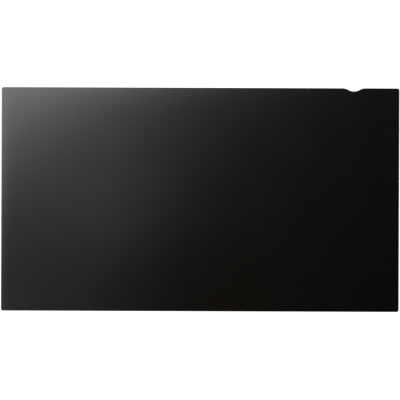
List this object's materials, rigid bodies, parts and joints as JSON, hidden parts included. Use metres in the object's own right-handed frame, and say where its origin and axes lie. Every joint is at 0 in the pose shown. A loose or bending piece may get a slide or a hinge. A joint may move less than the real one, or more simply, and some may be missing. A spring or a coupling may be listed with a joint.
{
  "type": "monitor privacy filter",
  "caption": "Thin black widescreen sheet with rounded corners and a thumb notch in its top edge, laid over a monitor's screen to hide it from the side.",
  "frame": {"origin": "middle of the sheet's outline, on its back face, which lies on the surface", "axes": "+X across the width towards the end with the notch, +Y towards the top edge, +Z out of the front face"},
  "size_m": [0.531, 0.2986, 0.0005],
  "materials": {
    "louvre_film": "black laminated louvre film with a satin anti-glare front face"
  },
  "bodies": {
    "root": {"filter_sheet": "louvre_film"}
  },
  "joints": []
}
